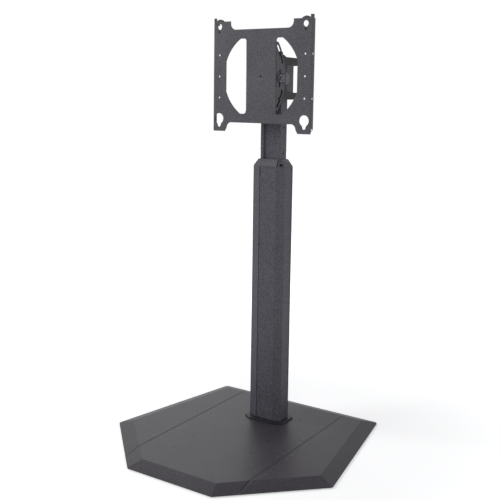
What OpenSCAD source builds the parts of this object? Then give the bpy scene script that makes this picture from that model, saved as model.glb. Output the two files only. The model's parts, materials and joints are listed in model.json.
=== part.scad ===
// Portable display stand: a low three-section base that folds for transport, a telescoping
// mast and a quick-hang head plate that tilts about the middle of the screen.
// +Z is up, the screen side faces -Y, and the origin is the middle of the base on the floor.
// All sizes are in millimetres.

/* [Base outline] */
// Overall width of the unfolded base
base_w = 908; // [860:2:960]
// Overall depth of the base, front to back
base_d = 817; // [780:1:860]
// Length of the short front edge
front_w = 344; // [320:2:380]
// Length of the rear edge
rear_w = 703; // [660:1:740]
// Distance from the front edge back to the widest corners
wide_at = 264; // [240:2:290]
// Radius of the outline's corners
corner_r = 14; // [6:1:20]
// Distance from the centre line to each folding seam
seam_x = 230; // [226:1:236]

/* [Base pans] */
// Height of the deck above the floor
deck_h = 22.6; // [22:0.2:26]
// Width of the sloping border
border_w = 51; // [44:1:56]
// Height of the upright lip round the border
lip_h = 3; // [2:0.5:4]
// Height of the lip's lower edge above the floor
lip_z = 3.4; // [3.4:0.1:3.8]
// Thickness of the pressed sheet of the base
skin_t = 2.5; // [2:0.1:3]
// Gap between two pans at a seam
seam_gap = 0.6; // [0.4:0.1:1]

/* [Folding hinges] */
// Diameter of the hinge knuckles
knuckle_d = 6; // [5.6:0.1:6]
// Diameter of the hinge pins
hinge_pin_d = 3; // [2.6:0.1:3.4]
// Length of each hinge along the seam
hinge_len = 60; // [54:1:70]
// Width of a hinge leaf under the deck
leaf_w = 30; // [27:1:32]
// Thickness of a hinge leaf
leaf_t = 2.5; // [2:0.1:2.8]
// Number of hinges on each seam
hinge_n = 4; // [3:1:4]
// Distance from the base's front edge back to the first hinge
hinge_front = 203.5; // [196:0.5:210]
// Distance from the base's rear edge forward to the last hinge
hinge_back = 205.5; // [198:0.5:212]
// Distance of the hinge screws from the seam
hinge_screw_x = 18.8; // [17:0.2:21]
// Distance between the two screws of a leaf
hinge_screw_pitch = 34; // [30:1:38]

/* [Stiffening rails] */
// Distance of each rail from the centre line
rail_x = 122; // [119:1:126]
// Width of a rail
rail_w = 36; // [30:1:38]
// Height of a rail
rail_h = 12; // [9:0.5:12]
// Distance from the base's front and rear edges to a rail's ends
rail_inset = 56.5; // [56.5:0.5:64]
// Number of screws in each rail
rail_screw_n = 7; // [5:1:7]
// Mean distance from a rail's ends to its outer screws
rail_end = 14.5; // [13:0.5:20]

/* [Lower column] */
// Distance from the base's rear edge forward to the column's axis
column_back = 220.5; // [212:0.5:228]
// Width of the lower column
column_w = 137.6; // [134:0.2:142]
// Depth of the lower column
column_d = 73.2; // [71:0.2:78]
// Width of the flat front and back faces
column_front = 70.2; // [66:0.2:76]
// Depth of the flat sides
column_side = 51.2; // [48:0.2:54]
// Wall of the lower column
column_wall = 3; // [2.5:0.1:3.4]
// Height of the lower column's top edge above the floor
column_top = 978; // [900:1:1000]
// Radius of the grooves along the column's eight creases
crease_r = 1.8; // [1:0.1:2]

/* [Foot plate] */
// Width of the foot plate
foot_w = 169; // [164:1:180]
// Depth of the foot plate
foot_d = 115; // [110:1:124]
// Width of the foot plate's flat front edge
foot_front = 103; // [96:1:110]
// Depth of the foot plate's flat sides
foot_side = 77; // [72:1:84]
// Thickness of the foot plate
foot_t = 6; // [5:0.5:8]
// Diameter of the bolts that hold the column
mast_bolt_d = 8; // [6:0.5:10]

/* [Upper column] */
// Width of the upper column
mast_w = 85.2; // [82:0.2:88]
// Depth of the upper column
mast_d = 44.6; // [42:0.2:48]
// Wall of the upper column
mast_wall = 3; // [2.5:0.1:3.2]
// Width of the recess down the front of the upper column
recess_w = 56; // [52:1:58]
// Depth of the recess down the front of the upper column
recess_d = 8; // [6:0.5:9]
// Radius of the upper column's corners
mast_r = 3; // [2:0.5:3.5]
// Length of the upper column
mast_l = 1160; // [1100:2:1160]
// Diameter of the index holes in the upper column
index_d = 7; // [5:0.5:9]
// Distance between neighbouring index holes
index_pitch = 93; // [85:1:100]

/* [Collar] */
// Height of the collar's tapered part
taper_h = 28; // [24:1:34]
// Thickness of the nylon liner
liner_t = 2; // [1.6:0.1:2.4]
// Running clearance round the upper column
slide_gap = 0.3; // [0.25:0.05:0.5]
// Depth of the collar's spigot in the lower column
spigot_h = 34; // [28:1:44]

/* [Head plate] */
// Height of the screen's middle above the floor, as pictured
head_z = 1298; // [1296:1:1310]
// Distance from the column's axis forward to the head plate
head_reach = 92.3; // [91:0.1:94]
// Width of the head plate
plate_w = 408; // [404:1:414]
// Height of the head plate over its corner tabs
plate_h = 390; // [386:1:396]
// Height of the head plate between its corner tabs
waist_h = 326; // [320:1:332]
// Thickness of the head plate
plate_t = 3; // [2.5:0.1:3.2]
// Depth of the head plate's side flanges
flange_d = 18.5; // [16:0.5:22]
// Distance from the centre line to each fold of an ear
fold_x = 62; // [61:0.5:64]
// Distance from the head plate's side edges in to the screen bolt holes
hole_in = 26.5; // [24:0.5:28]
// Distance between neighbouring screen bolt holes
hole_pitch = 75; // [70:1:80]
// Diameter of the screen bolt holes
hole_d = 6.6; // [5:0.1:9]

/* [Tilt mechanism] */
// Distance from the head plate forward to the tilt axis
axis_reach = 104; // [100:1:108]
// Radius of the guide slots' middle line
slot_r = 155.7; // [154:0.1:158]
// Radius of the lock slot's middle line
lock_r = 134; // [131:0.5:137]
// Angle of the guide pins above and below the tilt axis
pin_angle = 30; // [29:0.5:31]
// Tilt each way
tilt_max = 11; // [8:1:11]
// Diameter of the guide pins
guide_pin_d = 10; // [9:0.5:11]
// Diameter of the lock knob's stud
stud_d = 8; // [6:0.5:9]
// Diameter of the lock knob
knob_d = 40; // [36:1:44]
// Thickness of the yoke's cheeks
cheek_t = 4; // [3.5:0.1:4.4]
// Depth of the yoke behind the head plate
yoke_d = 205; // [198:1:212]
// Height of the yoke's upper edge over the screen's middle
yoke_z = 70; // [68:1:73]
// Depth of the yoke's lower edge under the screen's middle
yoke_low = 78; // [75:1:80]
// Width of the bars round the yoke's side windows
arm_h = 25; // [20:1:28]

/* [Latches] */
// Distance from the head plate's side edges in to the keyholes
keyhole_in = 26; // [24:0.5:28]
// Thickness of a latch
latch_t = 3; // [2.5:0.1:3.5]
// Diameter of the latch rivets
rivet_d = 6; // [5:0.5:7]
// Wire diameter of the latch springs
spring_wire = 1; // [0.8:0.1:1.2]

/* [Hidden] */

// Clearances
press_gap = 0.05;
run_gap = 0.3;

// Heights in the base
deck_under = deck_h - skin_t;
lip_top = lip_z + lip_h;
slope = atan((deck_h - lip_top) / border_w);
hinge_z = lip_z - 0.2;
flange_z = hinge_z + knuckle_d / 2 + 1.8;

// Places along the base
column_y = base_d / 2 - column_back;
hinge_pitch = (base_d - hinge_front - hinge_back) / (hinge_n - 1);
rail_l = base_d - 2 * rail_inset;
rail_screw_pitch = (rail_l - 2 * rail_end) / (rail_screw_n - 1);
rail_screw_shift = -4.5;

// Outline of the base, counterclockwise from the front left corner
outline = [
    [-front_w / 2, -base_d / 2],
    [front_w / 2, -base_d / 2],
    [base_w / 2, -base_d / 2 + wide_at],
    [rear_w / 2, base_d / 2],
    [-rear_w / 2, base_d / 2],
    [-base_w / 2, -base_d / 2 + wide_at]
];
hinge_ys = [for (i = [0:hinge_n - 1]) hinge_front - base_d / 2 + i * hinge_pitch];
rail_screw_ys = [for (i = [0:rail_screw_n - 1])
    (i - (rail_screw_n - 1) / 2) * rail_screw_pitch + rail_screw_shift];

// Foot pads, placed so that folded wings clear the centre pan's pads and rails
pad_r = 15;
pad_front = 78.5 - base_d / 2;
pad_rear = base_d / 2 - 70.5;
center_pads = [[-165, pad_front], [165, pad_front], [-205, pad_rear], [205, pad_rear]];
wing_pads = [[55, pad_front + 130], [140, pad_front + 210], [60, pad_rear - 16]];

// Spare holes in the deck behind the column
spare_hole_x = 100;
spare_hole_d = 4;
spare_hole_ys = [pad_rear - 54, pad_rear - 35];

// Ribs under the wings
rib_x = 80;
rib_w = 30;
rib_front = pad_front + 155;
rib_rear = pad_rear - 78;

// Column and mast
column_z = deck_h + foot_t;
mast_bolt_x = 44;
mast_bolt_y = 14;
anchor_t = 5;
collar_top = column_top + taper_h;
split_w = 3;
split_x = mast_w / 2 - 5;
clamp_screw_d = 5;
clamp_head_d = 8.4;
clamp_head_x = mast_w / 2 + liner_t + slide_gap + 1.1;
mast_top = head_z + 60;
mast_bottom = mast_top - mast_l;
glide_h = 60;

// Head
plate_y = column_y - head_reach;
keyhole_x = plate_w / 2 - keyhole_in;
hole_x = plate_w / 2 - hole_in;
tab_inner_top = plate_w / 2 - 74;
tab_inner_bottom = plate_w / 2 - 59;
tab_chamfer = 8;
notch_r = 22;
notch_low_r = 18.5;
window_z = 131;
window_r = plate_w / 2 - 46.7;
window_x = plate_w / 2 - 56;
window_corner_r = 9;
flange_hole_d = 9;
middle_hole_d = 7;
flange_low_hole = 15 - plate_h / 2;
low_keyhole_z = 45 - plate_h / 2;
ear_z = 118;
ear_out = fold_x;
ear_in = fold_x - plate_t;
cheek_out = ear_in - run_gap - 1.5;
cheek_in = cheek_out - cheek_t;
lock_angle = -2.6;
stud_end = ear_out + 26;
web_t = 4;
web_y = head_reach - mast_d / 2 - web_t;
rear_y = head_reach + mast_d / 2;
clamp_bolt_x = (mast_w / 2 + cheek_in) / 2;
clamp_bolt_z = 62;
clamp_leg_d = 22.4;
clamp_leg_front = 90;
clamp_leg_z = 54;
cheek_front = 23;
cheek_top = 80;
cheek_window = 83;
rear_bar = 20;
rear_window = 80;
pin_washer_d = 18;
drill_l = 90;
keyhole_z = plate_h / 2 - 20;
rivet_x = keyhole_x + 14;
rivet_z = keyhole_z + 9;
latch_lobe_r = 25.5;
latch_inner_r = 17;
latch_top = keyhole_z + 30;
latch_y = plate_t + run_gap;
spring_y = latch_y + latch_t + run_gap;
spring_turns = 3;
spring_pitch = spring_wire + 0.5;
spring_r = rivet_d / 2 + spring_wire;

// Unit vector, and the left-hand normal of the step from a to b
function unit(v) = v / norm(v);
function inward(a, b) = [a[1] - b[1], b[0] - a[0]] / norm(b - a);

// Corner i of polygon p moved inward by d on both its edges
function inset_corner(p, i, d) =
    let (n = len(p), a = p[(i + n - 1) % n], b = p[i], c = p[(i + 1) % n],
         n1 = inward(a, b), n2 = inward(b, c))
    b + (n1 + n2) * d / (1 + n1 * n2);
function inset(p, d) = [for (i = [0:len(p) - 1]) inset_corner(p, i, d)];

// Arc of n steps that rounds the corner b between a and c
function corner_arc(a, b, c, r, n) =
    let (u = unit(a - b), v = unit(c - b), half = acos(u * v) / 2,
         o = b + unit(u + v) * r / sin(half),
         p = b + u * r / tan(half) - o, q = b + v * r / tan(half) - o,
         a0 = atan2(p[1], p[0]), sweep = ((atan2(q[1], q[0]) - a0 + 540) % 360) - 180)
    [for (k = [0:n]) o + r * [cos(a0 + sweep * k / n), sin(a0 + sweep * k / n)]];
function rounded(p, r, n = 4) =
    [for (i = [0:len(p) - 1])
        each corner_arc(p[(i + len(p) - 1) % len(p)], p[i], p[(i + 1) % len(p)], r, n)];

// Long octagon with flat faces of width f and s
function octagon(w, d, f, s) = [
    [-f / 2, -d / 2], [f / 2, -d / 2], [w / 2, -s / 2], [w / 2, s / 2],
    [f / 2, d / 2], [-f / 2, d / 2], [-w / 2, s / 2], [-w / 2, -s / 2]
];
column_outline = octagon(column_w, column_d, column_front, column_side);

// Outline of the upper column grown by g, with the recess in its front
function mast_outline(g) =
    let (x = mast_w / 2 + g, y = mast_d / 2 + g,
         rx = recess_w / 2 - g, ry = mast_d / 2 - recess_d + g)
    [[-x, -y], [-rx, -y], [-rx, -ry], [rx, -ry], [rx, -y], [x, -y], [x, y], [-x, y]];

// Plan of a point at angle a and radius r about the tilt axis, from the head plate
function about_axis(r, a) = [r * cos(a) - axis_reach, r * sin(a)];

// Upright sheets: one across the stand from y, one along it from x
module across(y, t) {
    translate([0, y + t, 0]) rotate([90, 0, 0]) linear_extrude(t) children();
}
module along(x, t) {
    translate([x, 0, 0]) rotate([90, 0, 90]) linear_extrude(t) children();
}
module at_column() {
    translate([0, column_y, 0]) children();
}
module at_head() {
    translate([0, plate_y, head_z]) children();
}
module both_sides() {
    children();
    mirror([1, 0, 0]) children();
}
module round_bar(d, x0, x1) {
    translate([x0, 0, 0]) rotate([0, 90, 0]) cylinder(h = x1 - x0, d = d, $fn = 48);
}

// The pressed base: its outside as one block and the space under it
module deck_block() {
    hull() {
        translate([0, 0, lip_z]) linear_extrude(lip_h) polygon(rounded(outline, corner_r));
        translate([0, 0, deck_h - 0.1]) linear_extrude(0.1) polygon(inset(outline, border_w));
    }
}
module deck_space() {
    rise = lip_top + skin_t * tan(slope) - skin_t / cos(slope);
    hull() {
        translate([0, 0, -1]) linear_extrude(rise + 1)
            polygon(rounded(inset(outline, skin_t), corner_r - skin_t));
        translate([0, 0, deck_under - 0.1]) linear_extrude(0.1) polygon(inset(outline, border_w));
    }
}
module slab(x0, x1, z0, z1) {
    translate([x0, -base_d, z0]) cube([x1 - x0, 2 * base_d, z1 - z0]);
}
module seam_flange(x0, x1) {
    intersection() {
        deck_block();
        slab(x0, x1, flange_z, deck_h);
    }
}

// Where the countersunk screws of one leaf row stand, s is +1 on the wing side of the seam
module leaf_screw_places(s) {
    for (y = hinge_ys)
        for (dy = [-1, 1])
            translate([seam_x + s * hinge_screw_x, y + dy * hinge_screw_pitch / 2, deck_h])
                children();
}
module rail_screw_places() {
    both_sides() for (y = rail_screw_ys) translate([rail_x, y, deck_h]) children();
}

// Countersunk screw with its nut under a stack of thickness grip
screw_d = 4;
screw_head_d = 8;
screw_head_h = 2;
module sunk_screw(grip) {
    translate([0, 0, -screw_head_h]) cylinder(h = screw_head_h, d1 = screw_d, d2 = screw_head_d, $fn = 32);
    translate([0, 0, -grip - 3.5]) cylinder(h = grip + 3.5 - screw_head_h + 0.1, d = screw_d, $fn = 32);
    translate([0, 0, -grip - 2.6]) cylinder(h = 2.6, d = 7.4, $fn = 6);
}
module screw_hole() {
    translate([0, 0, -screw_head_h]) cylinder(h = screw_head_h + 0.01, d1 = screw_d + 0.1,
        d2 = screw_head_d + 0.12, $fn = 32);
    translate([0, 0, -10]) cylinder(h = 10, d = screw_d + 0.1, $fn = 32);
}

module base_center() {
    edge = seam_x - seam_gap / 2;
    color("dimgray") difference() {
        union() {
            intersection() {
                difference() {
                    deck_block();
                    deck_space();
                }
                slab(-edge, edge, 0, deck_h + 1);
            }
            seam_flange(edge - skin_t, edge);
            mirror([1, 0, 0]) seam_flange(edge - skin_t, edge);
        }
        both_sides() leaf_screw_places(-1) screw_hole();
        rail_screw_places() screw_hole();
        at_column() mast_bolt_places() translate([0, 0, 1])
            cylinder(h = deck_h + 1, d = mast_bolt_d + 0.6, $fn = 48);
        both_sides() for (y = spare_hole_ys)
            translate([spare_hole_x, y, 1]) cylinder(h = deck_h, d = spare_hole_d, $fn = 24);
    }
}

module wing() {
    edge = seam_x + seam_gap / 2;
    color("dimgray") difference() {
        union() {
            intersection() {
                difference() {
                    deck_block();
                    deck_space();
                }
                slab(edge, base_w, 0, deck_h + 1);
            }
            seam_flange(edge, edge + skin_t);
        }
        leaf_screw_places(1) screw_hole();
    }
}

// Channel with its web against the deck and its legs down
module deck_channel(x, y0, y1, w) {
    translate([x, y1, deck_under]) rotate([90, 0, 0]) linear_extrude(y1 - y0)
        difference() {
            translate([-w / 2, -rail_h]) square([w, rail_h]);
            translate([-w / 2 + skin_t, -rail_h - 1]) square([w - 2 * skin_t, rail_h + 1 - skin_t]);
        }
}
module rail() {
    color("dimgray") difference() {
        deck_channel(rail_x, -rail_l / 2, rail_l / 2, rail_w);
        rail_screw_places() screw_hole();
    }
}
module wing_rib() {
    color("dimgray") deck_channel(seam_x + rib_x, rib_front, rib_rear, rib_w);
}
module rail_screws() {
    color("black") rail_screw_places() sunk_screw(2 * skin_t);
}

// Moulded rubber pad on a stem that plugs into the deck's underside
module pad() {
    rotate_extrude($fn = 48)
        polygon([[0, 0], [pad_r - 1.5, 0], [pad_r, 1.5], [pad_r, 5], [pad_r - 4, 8],
                 [pad_r - 5, deck_under], [0, deck_under]]);
}
module center_feet() {
    color("black") for (p = center_pads) translate([p[0], p[1], 0]) pad();
}
module wing_feet() {
    color("black") for (p = wing_pads) translate([seam_x + p[0], p[1], 0]) pad();
}

// Hinge leaf on the +x side of its pin, knuckles at the given thirds of its length
module leaf(thirds) {
    third = hinge_len / 3;
    wall = seam_gap / 2 + skin_t;
    difference() {
        union() {
            translate([wall, -hinge_len / 2, deck_under - leaf_t])
                cube([leaf_w, hinge_len, leaf_t]);
            translate([wall, -hinge_len / 2, hinge_z + knuckle_d / 2 + 0.5])
                cube([leaf_t, hinge_len, deck_under - hinge_z - knuckle_d / 2 - 0.6]);
            for (k = thirds)
                translate([0, -hinge_len / 2 + k * third + 0.2, 0]) {
                    translate([0, 0, hinge_z - knuckle_d / 2 + 0.2])
                        cube([wall + leaf_t, third - 0.4, knuckle_d + 1]);
                    translate([0, 0, hinge_z]) rotate([-90, 0, 0])
                        cylinder(h = third - 0.4, d = knuckle_d, $fn = 48);
                }
        }
        translate([0, -hinge_len, hinge_z]) rotate([-90, 0, 0])
            cylinder(h = 2 * hinge_len, d = hinge_pin_d + 2 * press_gap, $fn = 48);
        for (k = thirds)
            translate([-knuckle_d, -hinge_len / 2 + k * third - 0.1, hinge_z + knuckle_d / 2])
                cube([knuckle_d + 0.01 + seam_gap / 2 + skin_t, third + 0.2, 2]);
        for (dy = [-1, 1])
            translate([hinge_screw_x, dy * hinge_screw_pitch / 2, deck_h]) screw_hole();
    }
}
module leaf_row(side, thirds) {
    color("silver") for (y = hinge_ys) translate([seam_x, y, 0])
        mirror([side < 0 ? 1 : 0, 0, 0]) leaf(thirds);
}
module hinge_pins() {
    color("silver") for (y = hinge_ys) translate([seam_x, y - hinge_len / 2 - 1, hinge_z])
        rotate([-90, 0, 0]) {
            cylinder(h = hinge_len + 2, d = hinge_pin_d, $fn = 32);
            translate([0, 0, -1]) cylinder(h = 1.8, d = hinge_pin_d + 1.6, $fn = 32);
            translate([0, 0, hinge_len + 1.2]) cylinder(h = 1.8, d = hinge_pin_d + 1.6, $fn = 32);
        }
}
module hinge_screws(s) {
    color("silver") leaf_screw_places(s) sunk_screw(skin_t + leaf_t);
}

// Column foot
module mast_bolt_places() {
    for (sx = [-1, 1]) for (sy = [-1, 1]) translate([sx * mast_bolt_x, sy * mast_bolt_y, 0]) children();
}
module anchor_plate() {
    color("dimgray") at_column() difference() {
        translate([-rail_x + rail_w / 2 + 6, -foot_d / 2 - 10, deck_under - anchor_t])
            cube([2 * (rail_x - rail_w / 2 - 6), foot_d + 20, anchor_t]);
        mast_bolt_places() cylinder(h = deck_h, d = mast_bolt_d + 0.6, $fn = 48);
    }
}
module mast_bolts() {
    head_h = 5.5;
    z0 = deck_under - anchor_t;
    color("silver") at_column() mast_bolt_places() {
        translate([0, 0, z0 - head_h]) cylinder(h = head_h, d = 1.6 * mast_bolt_d, $fn = 6);
        translate([0, 0, z0 - 0.1]) cylinder(h = column_z - z0 + 4.1, d = mast_bolt_d, $fn = 48);
    }
}
module foot_plate() {
    plan = octagon(foot_w, foot_d, foot_front, foot_side);
    color("dimgray") at_column() difference() {
        translate([0, 0, deck_h]) hull() {
            linear_extrude(foot_t - 2) polygon(rounded(plan, 10));
            linear_extrude(foot_t) polygon(rounded(inset(plan, 3), 8));
        }
        mast_bolt_places() cylinder(h = 100, d = mast_bolt_d + 2 * press_gap, $fn = 48);
    }
}
module lower_column() {
    color("dimgray") at_column() translate([0, 0, column_z]) linear_extrude(column_top - column_z)
        difference() {
            polygon(rounded(column_outline, 2.5));
            polygon(inset(column_outline, column_wall));
            for (sx = [-1, 1]) for (sy = [-1, 1]) {
                translate([sx * column_front / 2, sy * (column_d / 2 + 0.3)]) circle(r = crease_r, $fn = 24);
                translate([sx * (column_w / 2 + 0.3), sy * column_side / 2]) circle(r = crease_r, $fn = 24);
            }
        }
}

// Collar on the lower column, its nylon liner and its clamp screws
module collar() {
    bore = liner_t + slide_gap;
    color("dimgray") at_column() difference() {
        union() {
            hull() {
                translate([0, 0, column_top]) linear_extrude(3) polygon(rounded(column_outline, 2.5));
                translate([0, 0, collar_top - 0.1]) linear_extrude(0.1)
                    square([mast_w + 2 * bore + 4, mast_d + 2 * bore + 4], center = true);
            }
            translate([0, 0, column_top - spigot_h]) linear_extrude(spigot_h + 1)
                polygon(inset(column_outline, column_wall + 0.1));
        }
        translate([0, 0, column_top - spigot_h - 1]) linear_extrude(spigot_h + taper_h + 2)
            polygon(rounded(mast_outline(bore), mast_r));
        // The split beside the right front corner, closed by a screw across it
        translate([split_x, -column_d, column_top + 3]) cube([split_w, column_d, taper_h]);
        at_collar_screw() {
            round_bar(clamp_screw_d + 2 * press_gap, split_x - 18, column_w);
            round_bar(clamp_head_d + 1, clamp_head_x, column_w);
        }
    }
}
module at_collar_screw() {
    translate([0, -mast_d / 2 - liner_t - slide_gap - 4.2, column_top + 8]) children();
}
module collar_liner() {
    color("ivory") at_column() difference() {
        translate([0, 0, column_top - spigot_h]) linear_extrude(spigot_h + taper_h - 1)
            polygon(rounded(mast_outline(liner_t + slide_gap), mast_r));
        translate([0, 0, column_top - spigot_h - 1]) linear_extrude(spigot_h + taper_h + 2)
            polygon(rounded(mast_outline(slide_gap), mast_r));
    }
}
module collar_screws() {
    color("silver") at_column() at_collar_screw() {
        round_bar(clamp_screw_d, split_x - 16, clamp_head_x + 0.1);
        difference() {
            round_bar(clamp_head_d, clamp_head_x, clamp_head_x + 5);
            translate([clamp_head_x + 2, 0, 0]) rotate([0, 90, 0]) cylinder(h = 4, d = 4.6, $fn = 6);
        }
    }
}

// Upper column with its glide and cap
module upper_column() {
    color("dimgray") at_column() difference() {
        translate([0, 0, mast_bottom]) linear_extrude(mast_l) difference() {
            polygon(rounded(mast_outline(0), mast_r));
            polygon(mast_outline(-mast_wall));
        }
        for (k = [0:8])
            translate([0, 0, collar_top + 21 - k * index_pitch + index_pitch])
                round_bar(index_d, mast_w / 2 - mast_wall - 1, mast_w);
    }
}
module mast_glide() {
    color("ivory") at_column() difference() {
        translate([0, 0, mast_bottom]) linear_extrude(glide_h)
            polygon(inset(column_outline, column_wall + slide_gap));
        translate([0, 0, mast_bottom - 1]) linear_extrude(glide_h + 2)
            polygon(rounded(mast_outline(0), mast_r));
    }
}
module column_cap() {
    color("black") at_column() {
        translate([0, 0, mast_top]) linear_extrude(3) polygon(rounded(mast_outline(0), mast_r));
        translate([0, 0, mast_top - 12]) linear_extrude(12.1) polygon(mast_outline(-mast_wall));
    }
}

// Yoke on the upper column
module cheek_outline() {
    lobe = 9;
    difference() {
        union() {
            translate([cheek_front, -yoke_low]) square([yoke_d - cheek_front, yoke_low + yoke_z]);
            for (s = [-1, 1]) translate(about_axis(slot_r, s * pin_angle)) circle(r = lobe, $fn = 48);
            polygon([[cheek_front, 0], [cheek_front, cheek_top], [cheek_front + 18, cheek_top],
                     [cheek_front + 41, cheek_top - 4], [cheek_front + 55, yoke_z], [cheek_front + 55, 0]]);
        }
        translate([cheek_window, arm_h - yoke_low])
            square([yoke_d - rear_bar - cheek_window, yoke_low + yoke_z - 2 * arm_h]);
    }
}
module tilt_yoke() {
    color("dimgray") at_head() difference() {
        union() {
            both_sides() along(cheek_in, cheek_t) cheek_outline();
            across(web_y, web_t) translate([-cheek_in - 1, -yoke_low])
                square([2 * cheek_in + 2, yoke_low + yoke_z]);
            across(yoke_d - web_t, web_t) difference() {
                translate([-cheek_in - 1, -yoke_low]) square([2 * cheek_in + 2, yoke_low + yoke_z]);
                translate([-rear_window / 2, arm_h - yoke_low])
                    square([rear_window, yoke_low + yoke_z - 2 * arm_h]);
            }
        }
        pin_places() round_bar(guide_pin_d + 2 * press_gap, 0, drill_l);
        lock_place() round_bar(stud_d + 1, 0, drill_l);
        clamp_bolt_places() translate([0, web_y - 1, 0]) rotate([-90, 0, 0])
            cylinder(h = web_t + 2, d = 6 + 2 * press_gap, $fn = 32);
    }
}
module clamp_bolt_places() {
    for (sx = [-1, 1]) for (sz = [-1, 1]) translate([sx * clamp_bolt_x, 0, sz * clamp_bolt_z]) children();
}
module rear_clamp() {
    half = cheek_in - 1.5;
    color("dimgray") at_head() difference() {
        union() {
            across(rear_y, web_t) translate([-half, 6 - yoke_low]) square([2 * half, yoke_low + yoke_z - 8]);
            both_sides() along(half - web_t, web_t) translate([clamp_leg_front, -clamp_leg_z])
                square([rear_y + clamp_leg_d - clamp_leg_front, 2 * clamp_leg_z]);
        }
        clamp_bolt_places() translate([0, rear_y - 1, 0]) rotate([-90, 0, 0])
            cylinder(h = web_t + 2, d = 6 + 2 * press_gap, $fn = 32);
    }
}
module clamp_bolts() {
    color("silver") at_head() clamp_bolt_places() rotate([-90, 0, 0]) {
        translate([0, 0, web_y - 5]) cylinder(h = 5, d = 9, $fn = 6);
        translate([0, 0, web_y - 0.1]) cylinder(h = rear_y - web_y + web_t + 6, d = 6, $fn = 32);
        translate([0, 0, rear_y + web_t]) cylinder(h = 5, d = 9, $fn = 6);
    }
}
module pin_places() {
    both_sides() for (s = [-1, 1])
        translate([0, about_axis(slot_r, s * pin_angle)[0], about_axis(slot_r, s * pin_angle)[1]])
            children();
}
module guide_pins() {
    color("silver") at_head() pin_places() {
        round_bar(guide_pin_d, cheek_in - 7, ear_out + run_gap + 0.1);
        round_bar(16, ear_out + run_gap, ear_out + run_gap + 5);
    }
}
module pin_nuts() {
    color("silver") at_head() pin_places() difference() {
        translate([cheek_in - 6, 0, 0]) rotate([0, 90, 0]) cylinder(h = 6, d = 18, $fn = 6);
        round_bar(guide_pin_d + 2 * press_gap, 0, drill_l);
    }
}
module pin_washers() {
    color("ivory") at_head() pin_places() difference() {
        round_bar(pin_washer_d, cheek_out, cheek_out + 1.5);
        round_bar(guide_pin_d + 2 * press_gap, 0, drill_l);
    }
}

// Lock knob on the right ear
module lock_place() {
    translate([0, about_axis(lock_r, lock_angle)[0], about_axis(lock_r, lock_angle)[1]]) children();
}
module at_lock() {
    at_head() lock_place() children();
}
module lock_nut() {
    color("silver") at_lock() difference() {
        translate([cheek_in - 7, 0, 0]) rotate([0, 90, 0]) cylinder(h = 7, d = 15, $fn = 6);
        round_bar(stud_d + 2 * press_gap, 0, drill_l);
    }
}
module lock_washer() {
    color("silver") at_lock() difference() {
        round_bar(24, ear_out + run_gap, ear_out + run_gap + 2);
        round_bar(stud_d + 1, 0, drill_l);
    }
}
module lock_stud() {
    color("silver") at_lock() round_bar(stud_d, cheek_in - 9, stud_end);
}
module tilt_knob() {
    x0 = ear_out + 2 * run_gap + 2;
    hub = 12;
    lobes = 6;
    color("black") at_lock() difference() {
        union() {
            round_bar(20, x0, x0 + hub);
            translate([x0 + hub - 1, 0, 0]) rotate([0, 90, 0]) linear_extrude(14) difference() {
                circle(d = knob_d, $fn = 72);
                for (k = [0:lobes - 1]) rotate(k * 360 / lobes)
                    translate([knob_d / 2 + 3, 0]) circle(r = 7, $fn = 36);
            }
            round_bar(26, x0 + hub + 12, x0 + hub + 16);
        }
        round_bar(stud_d + 2 * press_gap, 0, stud_end + press_gap);
    }
}

// Head plate: face, ears folded back, side flanges
function slot_side(r, a0, a1) = [for (k = [0:12]) about_axis(r, a0 + (a1 - a0) * k / 12)];
function slot_cap(r, a, d, turn) =
    [for (k = [1:8]) about_axis(r, a) + d / 2 * [cos(turn + 20 * k), sin(turn + 20 * k)]];
module arc_slot(r, a0, a1, w) {
    polygon(concat(slot_side(r + w / 2, a0, a1), slot_cap(r, a1, w, a1),
                   slot_side(r - w / 2, a1, a0), slot_cap(r, a0, w, a0 + 180)));
}
module ear_outline() {
    reach = tilt_max + 0.5;
    difference() {
        intersection() {
            translate([-axis_reach, 0]) circle(r = slot_r + 12, $fn = 180);
            translate([0, -ear_z]) square([axis_reach, 2 * ear_z]);
        }
        for (s = [-1, 1])
            arc_slot(slot_r, s * pin_angle - reach, s * pin_angle + reach, guide_pin_d + 2 * run_gap);
        arc_slot(lock_r, lock_angle - reach, lock_angle + reach, stud_d + 2 * run_gap);
    }
}
module keyhole(x, z, d, slot_w, drop) {
    shoulder = d * 0.36;
    neck = d * 0.55;
    translate([x, z]) circle(d = d, $fn = 48);
    translate([x, z]) polygon([[-shoulder, -d * 0.3], [shoulder, -d * 0.3],
                               [slot_w / 2, -neck], [-slot_w / 2, -neck]]);
    translate([x - slot_w / 2, z - drop]) square([slot_w, drop]);
    translate([x, z - drop]) circle(d = slot_w, $fn = 36);
}
module fillet(x, z, r, sx, sz) {
    translate([x, z]) difference() {
        translate([sx > 0 ? 0 : -r, sz > 0 ? 0 : -r]) square(r);
        translate([sx * r, sz * r]) circle(r = r, $fn = 48);
    }
}
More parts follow.
